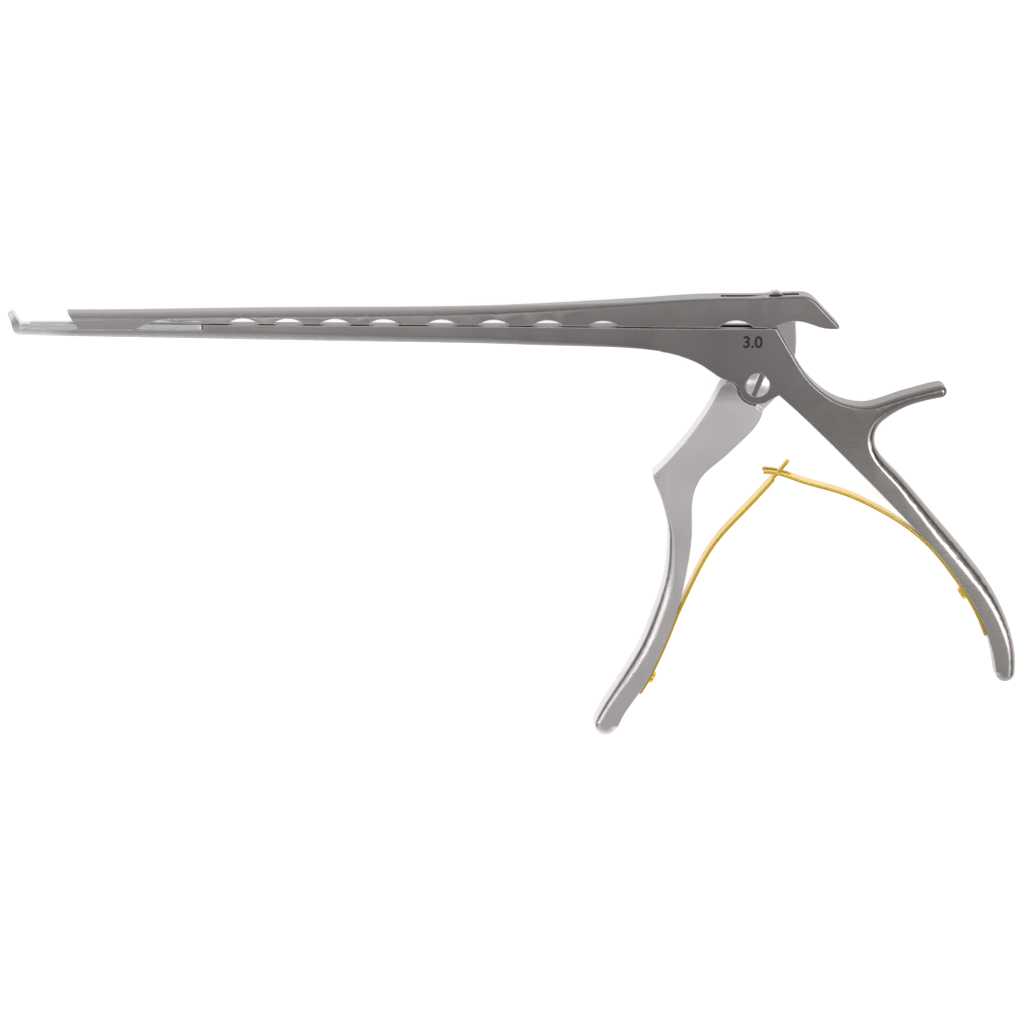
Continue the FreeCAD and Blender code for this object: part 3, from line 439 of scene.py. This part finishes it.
@dataclass(frozen=True)
class ShaftFinish(SteelFinish):
    """The shaft's brushed finish, which is bright where the front rail was milled, with painted shade in
    the joint under the slide.

    Places are in millimetres from the pivot's axis.

    Attributes:
        milled: The milled sides' tone.
        milled_depth: Half the thickness of the milled rail.
        milled_end: Where the milled sides end, along the shaft.
        milled_low: Their lower limit.
        milled_high: Their upper limit.
        depth_fade: Where their tone ends, as a multiple of milled_depth.
        end_fade: How softly it ends along the shaft.
        level_fade: How softly it ends at both height limits.
        foot_start: Where the bright footplate begins.
        foot_fade: How softly it begins.
        middle: Height of the middle plane above the underside.
        seam: Height of the seam between the shaft and the slide.
        ledge_shade: Lower and upper limit of the ledge's painted shade over the seam, and their softness.
        joint_shadow: The same for the painted shadow in the joint.
        ledge_shade_tone: The tone of the ledge's painted shade.
        joint_shadow_tone: The tone of the painted shadow in the joint.
    """

    milled: tuple[float, float, float] = (0.68, 0.68, 0.71)
    milled_depth: float = 1.95
    milled_end: float = -136.4
    milled_low: float = 12.5
    milled_high: float = 15.2
    depth_fade: float = 1.12
    end_fade: float = 1.0
    level_fade: float = 0.3
    foot_start: float = -181.4
    foot_fade: float = 0.4
    middle: float = 4.0
    seam: float = 14.0
    # Painted shade along the seam under the slide: a darker ledge and a nearly black joint.
    ledge_shade: tuple[float, float, float] = (-0.12, 0.02, 0.02)
    joint_shadow: tuple[float, float, float] = (0.01, 0.42, 0.03)
    ledge_shade_tone: tuple[float, float, float] = (0.16, 0.15, 0.15)
    joint_shadow_tone: tuple[float, float, float] = (0.015, 0.014, 0.014)

    def heights(self, low: float, high: float) -> tuple[float, float]:
        """Gives two heights over the pivot's axis in the row frame.

        Args:
            low: Millimetres from the pivot's axis towards the slide.
            high: The same for the upper height.

        Returns:
            Both heights in metres.
        """
        return from_pivot(0.0, low, 0.0).y, from_pivot(0.0, high, 0.0).y

    def dressed(
        self, sketch: NodeSketch, place: bpy.types.NodeSocket, colour: bpy.types.NodeSocket
    ) -> bpy.types.NodeSocket:
        """Brightens the milled sides of the front rail and paints shade into the joint under the slide.

        Args:
            sketch: The material's nodes.
            place: The place on the piece.
            colour: The metal's colour.

        Returns:
            The colour, with the milled one where the rail is thin and painted shade in the joint.
        """
        parts = sketch.add("ShaderNodeSeparateXYZ")
        sketch.link(place, parts.inputs[0])
        end = from_pivot(self.milled_end, 0.0, 0.0).x
        behind = sketch.ramp(parts.outputs["X"], end, end + self.end_fade * MILLIMETRE, 0.0, 1.0)
        # Painted shade on the ledge and painted shadow in the joint under the slide.
        ledge_shade = self.joint_band(sketch, parts.outputs["Y"], self.ledge_shade)
        joint_shadow = self.joint_band(sketch, parts.outputs["Y"], self.joint_shadow)
        colour = sketch.blend(sketch.all_of(ledge_shade, behind), colour, self.ledge_shade_tone)
        colour = sketch.blend(sketch.all_of(joint_shadow, behind), colour, self.joint_shadow_tone)
        return sketch.blend(self.milled_share(sketch, parts), colour, self.milled)

    def joint_band(
        self, sketch: NodeSketch, up: bpy.types.NodeSocket, band: tuple[float, float, float]
    ) -> bpy.types.NodeSocket:
        """Marks a band along the seam.

        Args:
            sketch: The material's nodes.
            up: The place's height towards the slide.
            band: Its lower and upper limit over the seam, and the softness of both.

        Returns:
            1 in the band and 0 outside.
        """
        low, high, soft = band
        limits = self.heights(self.seam + low, self.seam + high)
        return sketch.band(up, *limits, soft * MILLIMETRE)

    def milled_share(self, sketch: NodeSketch, parts: bpy.types.Node) -> bpy.types.NodeSocket:
        """Marks the milled sides of the front rail and the footplate.

        Args:
            sketch: The material's nodes.
            parts: The place on the piece, as its three separate coordinates.

        Returns:
            1 on the bright metal and 0 elsewhere.
        """
        along = parts.outputs["X"]
        offset = sketch.add("ShaderNodeMath", operation="SUBTRACT")
        offset.inputs[1].default_value = self.middle * MILLIMETRE
        sketch.link(parts.outputs["Z"], offset.inputs[0])
        depth = sketch.add("ShaderNodeMath", operation="ABSOLUTE")
        sketch.link(offset.outputs[0], depth.inputs[0])
        limit = self.milled_depth * MILLIMETRE
        inside = sketch.ramp(depth.outputs[0], limit, limit * self.depth_fade, 1.0, 0.0)
        end = from_pivot(self.milled_end, 0.0, 0.0).x
        ahead = sketch.ramp(along, end - self.end_fade * MILLIMETRE, end, 1.0, 0.0)
        limits = self.heights(self.milled_low, self.milled_high)
        level = sketch.band(parts.outputs["Y"], *limits, self.level_fade * MILLIMETRE)
        foot = from_pivot(self.foot_start, 0.0, 0.0).x
        tip = sketch.ramp(along, foot - self.foot_fade * MILLIMETRE, foot, 1.0, 0.0)
        either = sketch.add("ShaderNodeMath", operation="MAXIMUM")
        sketch.link(sketch.all_of(inside, ahead, level), either.inputs[0])
        sketch.link(tip, either.inputs[1])
        return either.outputs[0]


@dataclass(frozen=True)
class GripFinish(SteelFinish):
    """The trigger handle's brushed finish, with painted shadow where it meets the frame's round boss.

    Attributes:
        gap_shadow_radius: Outer radius of the painted shadow round the boss, in millimetres.
        gap_shadow_fade: How softly it ends, in millimetres.
        gap_shadow_tone: Its tone.
    """

    # Painted shadow in the gap round the pivot's boss.
    gap_shadow_radius: float = 5.35
    gap_shadow_fade: float = 0.03
    gap_shadow_tone: tuple[float, float, float] = (0.02, 0.019, 0.019)

    def dressed(
        self, sketch: NodeSketch, place: bpy.types.NodeSocket, colour: bpy.types.NodeSocket
    ) -> bpy.types.NodeSocket:
        """Paints shadow into the gap round the boss.

        Args:
            sketch: The material's nodes.
            place: The place on the piece.
            colour: The metal's colour.

        Returns:
            The colour, with painted shadow close to the pivot's boss.
        """
        offset = sketch.add("ShaderNodeVectorMath", operation="SUBTRACT")
        offset.inputs[1].default_value = from_pivot(0.0, 0.0, 0.0)
        sketch.link(place, offset.inputs[0])
        flat = sketch.add("ShaderNodeVectorMath", operation="MULTIPLY")
        flat.inputs[1].default_value = (1.0, 1.0, 0.0)
        sketch.link(offset.outputs["Vector"], flat.inputs[0])
        reach = sketch.add("ShaderNodeVectorMath", operation="LENGTH")
        sketch.link(flat.outputs["Vector"], reach.inputs[0])
        radius = self.gap_shadow_radius * MILLIMETRE
        fade = self.gap_shadow_fade * MILLIMETRE
        # Painted shadow: nearly black within the boss's radius.
        near = sketch.ramp(reach.outputs["Value"], radius - fade, radius, 1.0, 0.0)
        return sketch.blend(near, colour, self.gap_shadow_tone)


@dataclass(frozen=True)
class MarkInk:
    """The dark etched colour of the size number.

    Attributes:
        name: The material's name.
        colour: Its tone.
        mottle_per_metre: How fine its unevenness is.
        mottle_detail: How detailed it is.
        smooth: The lowest roughness.
        rough: The highest roughness.
    """

    name: str = "etched_mark"
    colour: tuple[float, float, float] = (0.012, 0.010, 0.010)
    mottle_per_metre: float = 6000.0
    mottle_detail: float = 2.0
    smooth: float = 0.5
    rough: float = 0.75

    def make(self) -> bpy.types.Material:
        """Makes the material.

        Returns:
            A dull black with a fine mottle.
        """
        material = bpy.data.materials.new(self.name)
        material.use_nodes = True
        sketch = NodeSketch(material.node_tree)
        place = sketch.add("ShaderNodeTexCoord").outputs["Object"]
        mottle = sketch.noise(place, self.mottle_per_metre, self.mottle_detail, EVEN)
        shader = sketch.add("ShaderNodeBsdfPrincipled")
        shader.inputs["Base Color"].default_value = (*self.colour, 1.0)
        uneven = sketch.ramp(mottle, *GRAIN_SPAN, self.smooth, self.rough)
        sketch.link(uneven, shader.inputs["Roughness"])
        output = sketch.add("ShaderNodeOutputMaterial")
        sketch.link(shader.outputs["BSDF"], output.inputs["Surface"])
        return material


# Painted light: the frame is painted lighter down the rear handle.
REAR_PAINTED_LIGHT = ToneShift((0.42, 0.392, 0.372), "Y", -4.0, -45.0)
# Painted light: the shaft is painted lighter towards its front end, where the light falls from the left.
FRONT_PAINTED_LIGHT = ToneShift((0.42, 0.396, 0.39), "X", -10.0, -115.0)
# Painted light: the nose is painted lighter still.
NOSE_PAINTED_LIGHT = ToneShift((0.64, 0.615, 0.61), "X", -169.0, -176.0)
# Painted shade: the trigger handle's arm darkens upwards, where it lies in shadow behind the cheek.
ARM_PAINTED_SHADE = ToneShift((0.40, 0.37, 0.37), "Y", -5.0, -1.0)
SHAFT_STEEL = ShaftFinish(
    name="shaft_steel",
    light=(0.232, 0.214, 0.210),
    dark=(0.20, 0.184, 0.181),
    smooth=0.24,
    rough=0.30,
    # Strong painted highlights on the shaft's edges and on its back's ridge.
    edge_highlight=0.85,
    ridge_highlight=0.6,
    shifts=(REAR_PAINTED_LIGHT, FRONT_PAINTED_LIGHT, NOSE_PAINTED_LIGHT),
)
# Painted light: the trigger handle is the same steel as the shaft, painted much lighter.
LIT_GRIP_STEEL = GripFinish(
    name="grip_steel_painted_light",
    light=(0.79, 0.755, 0.75),
    dark=(0.71, 0.675, 0.67),
    smooth=0.24,
    rough=0.30,
    lay=GrainLay.ACROSS_SHAFT,
    shifts=(ARM_PAINTED_SHADE,),
)
# Painted shade: turned parts darken below 8.02 mm above the underside and are fully dark below 7.95 mm,
# which shades the screw's slot and all lower parts.
SLOT_PAINTED_SHADE = ToneShift((0.20, 0.19, 0.19), "Z", 8.02, 7.95)
TURNED_STEEL = SteelFinish(
    name="turned_steel",
    light=(0.84, 0.82, 0.81),
    dark=(0.72, 0.70, 0.69),
    smooth=0.24,
    rough=0.34,
    lay=GrainLay.ROUND,
    shifts=(SLOT_PAINTED_SHADE,),
)
GOLDEN_STEEL = SteelFinish(
    name="golden_steel",
    light=(0.93, 0.66, 0.14),
    dark=(0.80, 0.53, 0.08),
    smooth=0.20,
    rough=0.30,
    lay=GrainLay.ROUND,
    edge_highlight=0.0,
)


def dress(piece: bpy.types.Object, material: bpy.types.Material) -> None:
    """Gives a piece one material.

    Args:
        piece: The object to dress.
        material: Its material.
    """
    piece.data.materials.clear()
    piece.data.materials.append(material)


def smooth_faces(piece: bpy.types.Object) -> None:
    """Joins loose facets and shades a piece smoothly, with its flats kept flat.

    Args:
        piece: The object.
    """
    weld = piece.modifiers.new("joined", "WELD")
    weld.merge_threshold = WELD_REACH * MILLIMETRE
    smooth_by_angle(piece, SHARP_ANGLE)
    weigh = piece.modifiers.new("flats", "WEIGHTED_NORMAL")
    weigh.mode = "FACE_AREA"
    weigh.weight = FLAT_WEIGHT
    weigh.keep_sharp = True


def smooth_by_angle(piece: bpy.types.Object, angle: float) -> None:
    """Shades a piece smoothly except over its sharp edges.

    Args:
        piece: The object.
        angle: Edges sharper than this many degrees stay sharp.
    """
    title = f"smooth_under_{angle:g}_degrees"
    group = bpy.data.node_groups.get(title)
    if group is None:
        group = bpy.data.node_groups.new(title, "GeometryNodeTree")
        group.interface.new_socket("Geometry", in_out="INPUT", socket_type="NodeSocketGeometry")
        group.interface.new_socket("Geometry", in_out="OUTPUT", socket_type="NodeSocketGeometry")
        nodes = group.nodes
        inlet = nodes.new("NodeGroupInput")
        outlet = nodes.new("NodeGroupOutput")
        faces = nodes.new("GeometryNodeSetShadeSmooth")
        edges = nodes.new("GeometryNodeSetShadeSmooth")
        edges.domain = "EDGE"
        measure = nodes.new("GeometryNodeInputMeshEdgeAngle")
        compare = nodes.new("FunctionNodeCompare")
        compare.operation = "LESS_THAN"
        compare.inputs[1].default_value = math.radians(angle)
        group.links.new(measure.outputs["Unsigned Angle"], compare.inputs[0])
        group.links.new(inlet.outputs[0], faces.inputs["Geometry"])
        group.links.new(faces.outputs[0], edges.inputs["Geometry"])
        group.links.new(compare.outputs[0], edges.inputs["Shade Smooth"])
        group.links.new(edges.outputs[0], outlet.inputs[0])
    modifier = piece.modifiers.new("smooth", "NODES")
    modifier.node_group = group


@dataclass
class Studio:
    """Camera, light and floor.

    Attributes:
        distance: From the camera to its target, in millimetres.
        tilt: The camera's tilt from straight above, in degrees.
        roll: Its turn about its own axis, in degrees.
        width: Width of the view at the target, in millimetres.
        target: The place that it looks at, in millimetres from the pivot's axis.
        sensor: Width of the camera's sensor in millimetres.
        clip: Nearest and farthest distance that it shows, in metres.
        strip_length: Length of the strip lamps in metres.
        right_place: The right strip's place in metres.
        right_width: Its width in metres.
        right_power: Its power in watts.
        left_place: The left strip's place in metres.
        left_width: Its width in metres.
        left_power: Its power in watts.
        floor_size: Side of the floor in metres.
        floor_drop: Depth of the floor below the instrument, in millimetres.
        floor_tone: How much light the floor gives back.
        floor_glow: Its own light to the camera and in the steel.
        sky: Heights from 0 to 1, with the surroundings' light at each.
        sky_low: The light from below.
        sky_high: The light from straight above.
        flag_start: Where the dark side flags begin, as a sideways heading from 0 to 1.
        flag_full: Where they are full.
        flag_share: How dense they are.
        flag_tone: Their tone.
    """

    distance: float = 900.0
    tilt: float = 13.5
    roll: float = 0.3
    width: float = 256.0
    target: tuple[float, float, float] = (-60.5, -33.5, 4.0)
    sensor: float = 36.0
    clip: tuple[float, float] = (0.01, 20.0)
    strip_length: float = 1.7
    right_place: tuple[float, float, float] = (0.85, -0.05, 1.1)
    right_width: float = 0.26
    right_power: float = 4.5
    left_place: tuple[float, float, float] = (-0.70, -0.05, 1.1)
    left_width: float = 0.10
    left_power: float = 1.62
    floor_size: float = 4.0
    floor_drop: float = 0.2
    floor_tone: float = 0.4
    floor_glow: float = 0.85
    sky: tuple[tuple[float, float], ...] = ((0.5, 0.80), (0.75, 0.65), (0.90, 0.45), (0.97, 0.32))
    sky_low: float = 0.92
    sky_high: float = 0.28
    flag_start: float = 0.70
    flag_full: float = 0.84
    flag_share: float = 0.92
    flag_tone: float = 0.04

    def camera(self) -> None:
        """Places the camera at the photograph's viewing angle."""
        data = bpy.data.cameras.new("view")
        data.sensor_width = self.sensor
        data.lens = data.sensor_width * self.distance / self.width
        data.clip_start, data.clip_end = self.clip
        camera = bpy.data.objects.new("view", data)
        bpy.context.scene.collection.objects.link(camera)
        tilt = math.radians(self.tilt)
        roll = math.radians(self.roll)
        back = Vector((0.0, math.sin(tilt), math.cos(tilt)))
        level = Vector((1.0, 0.0, 0.0))
        upright = Vector((0.0, math.cos(tilt), -math.sin(tilt)))
        right = level * math.cos(roll) + upright * math.sin(roll)
        up = upright * math.cos(roll) - level * math.sin(roll)
        turn = Matrix((right, up, back)).transposed()
        place = from_pivot(*self.target) + back * self.distance * MILLIMETRE
        camera.matrix_world = Matrix.Translation(place) @ turn.to_4x4()
        bpy.context.scene.camera = camera

    def lamp(
        self, name: str, place: tuple[float, float, float], size: tuple[float, float], power: float
    ) -> None:
        """Adds a soft strip lamp aimed at the instrument.

        Args:
            name: The lamp's name.
            place: Its place in metres.
            size: Its width and length in metres.
            power: Its power in watts.
        """
        data = bpy.data.lights.new(name, "AREA")
        data.shape = "RECTANGLE"
        data.size, data.size_y = size
        data.energy = power
        lamp = bpy.data.objects.new(name, data)
        bpy.context.scene.collection.objects.link(lamp)
        lamp.location = place
        lamp.rotation_mode = "QUATERNION"
        lamp.rotation_quaternion = Vector(place).to_track_quat("Z", "Y")

    def world(self) -> None:
        """Makes the studio's surroundings: white to the camera, darker overhead for the steel."""
        world = bpy.data.worlds.new("studio")
        bpy.context.scene.world = world
        world.use_nodes = True
        sketch = NodeSketch(world.node_tree)
        heading = sketch.add("ShaderNodeTexCoord").outputs["Generated"]
        parts = sketch.add("ShaderNodeSeparateXYZ")
        sketch.link(heading, parts.inputs[0])
        ramp = sketch.add("ShaderNodeValToRGB")
        ramp.color_ramp.elements[0].position = 0.0
        ramp.color_ramp.elements[0].color = (*(self.sky_low,) * 3, 1.0)
        ramp.color_ramp.elements[1].position = 1.0
        ramp.color_ramp.elements[1].color = (*(self.sky_high,) * 3, 1.0)
        for position, level in self.sky:
            element = ramp.color_ramp.elements.new(position)
            element.color = (level, level, level, 1.0)
        sketch.link(parts.outputs["Z"], ramp.inputs["Fac"])
        aside = sketch.add("ShaderNodeMath", operation="ABSOLUTE")
        sketch.link(parts.outputs["X"], aside.inputs[0])
        flagged = sketch.ramp(aside.outputs[0], self.flag_start, self.flag_full, 0.0, self.flag_share)
        dimmed = sketch.blend(flagged, ramp.outputs["Color"], (self.flag_tone,) * 3)
        rays = sketch.add("ShaderNodeLightPath")
        shown = sketch.add("ShaderNodeMix", data_type="RGBA")
        shown.inputs["B"].default_value = (1.0, 1.0, 1.0, 1.0)
        sketch.link(dimmed, shown.inputs["A"])
        sketch.link(rays.outputs["Is Camera Ray"], shown.inputs["Factor"])
        background = sketch.add("ShaderNodeBackground")
        sketch.link(shown.outputs["Result"], background.inputs["Color"])
        output = sketch.add("ShaderNodeOutputWorld")
        sketch.link(background.outputs[0], output.inputs["Surface"])

    def floor(self) -> None:
        """Lays a plain white floor under the instrument."""
        mesh = bpy.data.meshes.new("floor")
        form = bmesh.new()
        bmesh.ops.create_grid(form, x_segments=1, y_segments=1, size=self.floor_size / 2.0)
        bmesh.ops.translate(form, verts=form.verts, vec=(0.0, 0.0, -self.floor_drop * MILLIMETRE))
        form.to_mesh(mesh)
        form.free()
        floor = bpy.data.objects.new("floor", mesh)
        bpy.context.scene.collection.objects.link(floor)
        material = bpy.data.materials.new("floor_white")
        material.use_nodes = True
        sketch = NodeSketch(material.node_tree)
        diffuse = sketch.add("ShaderNodeBsdfDiffuse")
        diffuse.inputs["Color"].default_value = (*(self.floor_tone,) * 3, 1.0)
        glow = sketch.add("ShaderNodeEmission")
        glow.inputs["Color"].default_value = (1.0, 1.0, 1.0, 1.0)
        rays = sketch.add("ShaderNodeLightPath")
        seen = rays.outputs["Is Camera Ray"]
        for kind in ("Is Glossy Ray", "Is Transmission Ray"):
            either = sketch.add("ShaderNodeMath", operation="MAXIMUM")
            sketch.link(seen, either.inputs[0])
            sketch.link(rays.outputs[kind], either.inputs[1])
            seen = either.outputs[0]
        sketch.link(sketch.ramp(seen, 0.0, 1.0, 0.0, self.floor_glow), glow.inputs["Strength"])
        total = sketch.add("ShaderNodeAddShader")
        sketch.link(diffuse.outputs[0], total.inputs[0])
        sketch.link(glow.outputs[0], total.inputs[1])
        output = sketch.add("ShaderNodeOutputMaterial")
        sketch.link(total.outputs[0], output.inputs["Surface"])
        dress(floor, material)

    def build(self) -> None:
        """Sets up the whole studio."""
        self.camera()
        self.world()
        self.floor()
        left_size = (self.left_width, self.strip_length)
        right_size = (self.right_width, self.strip_length)
        self.lamp("left_strip", self.left_place, left_size, self.left_power)
        self.lamp("right_strip", self.right_place, right_size, self.right_power)
        bpy.context.scene.view_settings.view_transform = "Standard"
        LOG.info("studio ready")


@dataclass
class SteelWork:
    """The rigid steel pieces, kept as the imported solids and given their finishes.

    Attributes:
        finishes: The finish of each node.
    """

    finishes: dict[str, SteelFinish] = field(default_factory=lambda: {
        "frame": SHAFT_STEEL,
        "upper_slide": SHAFT_STEEL,
        "front_handle": LIT_GRIP_STEEL,
        "pivot_screw": TURNED_STEEL,
        "drive_pin": TURNED_STEEL,
        "release_lever": SHAFT_STEEL,
        "release_button": SHAFT_STEEL,
        "lever_pin": TURNED_STEEL,
        "lever_spring": TURNED_STEEL,
        "front_spring_screw": GOLDEN_STEEL,
        "rear_spring_screw": GOLDEN_STEEL,
    })

    def build(self) -> None:
        """Dresses every rigid node."""
        made: dict[str, bpy.types.Material] = {}
        for name, finish in self.finishes.items():
            if finish.name not in made:
                made[finish.name] = finish.make()
            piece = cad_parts[name]
            dress(piece, made[finish.name])
            smooth_faces(piece)
            LOG.info("dressed %s", name)


@dataclass
class LeafSprings:
    """The two crossed leaf springs, which bend between the handles.

    Places are in millimetres from the pivot's axis.

    Attributes:
        crossing: Where the leaves cross. Not used.
        rear_root: Where the rear leaf leaves its handle. Not used.
        front_root: Where the front leaf leaves its handle. Not used.
    """

    crossing: tuple[float, float, float] = (5.4, -23.1, 4.0)
    rear_root: tuple[float, float, float] = (44.0, -42.0, 4.0)
    front_root: tuple[float, float, float] = (-16.0, -54.0, 4.0)

    def leaf(self, node: str, material: bpy.types.Material) -> bpy.types.Object:
        """Copies a spring's solid into a closed mesh.

        Args:
            node: The spring's node.
            material: Its finish.

        Returns:
            The new piece.
        """
        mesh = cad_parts[node].data.copy()
        form = bmesh.new()
        form.from_mesh(mesh)
        bmesh.ops.remove_doubles(form, verts=form.verts, dist=WELD_REACH * MILLIMETRE)
        form.to_mesh(mesh)
        form.free()
        piece = bpy.data.objects.new(node + "_leaf", mesh)
        bpy.context.scene.collection.objects.link(piece)
        dress(piece, material)
        return piece

    def bend(self, piece: bpy.types.Object) -> None:
        """Bakes the leaf's placement into its mesh.

        Args:
            piece: The leaf.
        """
        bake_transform(piece)

    def build(self) -> None:
        """Makes both springs."""
        golden = GOLDEN_STEEL.make()
        for node, held, free, root in (
            ("front_leaf_spring", "trigger_body", "frame_body", self.front_root),
            ("rear_leaf_spring", "frame_body", "trigger_body", self.rear_root),
        ):
            piece = self.leaf(node, golden)
            self.bend(piece)
            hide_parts(node)
            smooth_faces(piece)
            LOG.info("made %s", piece.name)


@dataclass
class SizeMark:
    """The small etched size number on the cheek.

    Attributes:
        words: The number.
        height: Height of its figures in millimetres.
        body_share: The font's size for each millimetre of height.
        stroke_gain: How much the strokes are thickened, in millimetres.
        thickness: Half the mark's thickness in millimetres.
        centre: Its middle, in millimetres from the pivot's axis.
    """

    words: str = "3.0"
    height: float = 3.0
    body_share: float = 1.35
    stroke_gain: float = 0.1
    thickness: float = 0.01
    centre: tuple[float, float, float] = (-1.5, 10.6, 8.02)

    def build(self) -> None:
        """Makes the number as a thin flat mesh on the cheek's face."""
        curve = bpy.data.curves.new("size_mark", "FONT")
        curve.body = self.words
        curve.size = self.height * self.body_share * MILLIMETRE
        curve.align_x = "CENTER"
        curve.align_y = "CENTER"
        curve.offset = self.stroke_gain * MILLIMETRE
        curve.extrude = self.thickness * MILLIMETRE
        words = bpy.data.objects.new("size_mark_curve", curve)
        bpy.context.scene.collection.objects.link(words)
        depsgraph = bpy.context.evaluated_depsgraph_get()
        mesh = bpy.data.meshes.new_from_object(words.evaluated_get(depsgraph))
        bpy.data.objects.remove(words)
        mesh.transform(Matrix.Translation(from_pivot(*self.centre)))
        piece = bpy.data.objects.new("size_mark", mesh)
        bpy.context.scene.collection.objects.link(piece)
        dress(piece, MarkInk().make())
        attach(piece, "frame_body")
        LOG.info("made %s", piece.name)


def main() -> None:
    """Builds the studio and dresses the instrument."""
    logging.basicConfig(level=logging.INFO)
    Studio().build()
    SteelWork().build()
    LeafSprings().build()
    SizeMark().build()


if __name__ == "__main__":
    main()
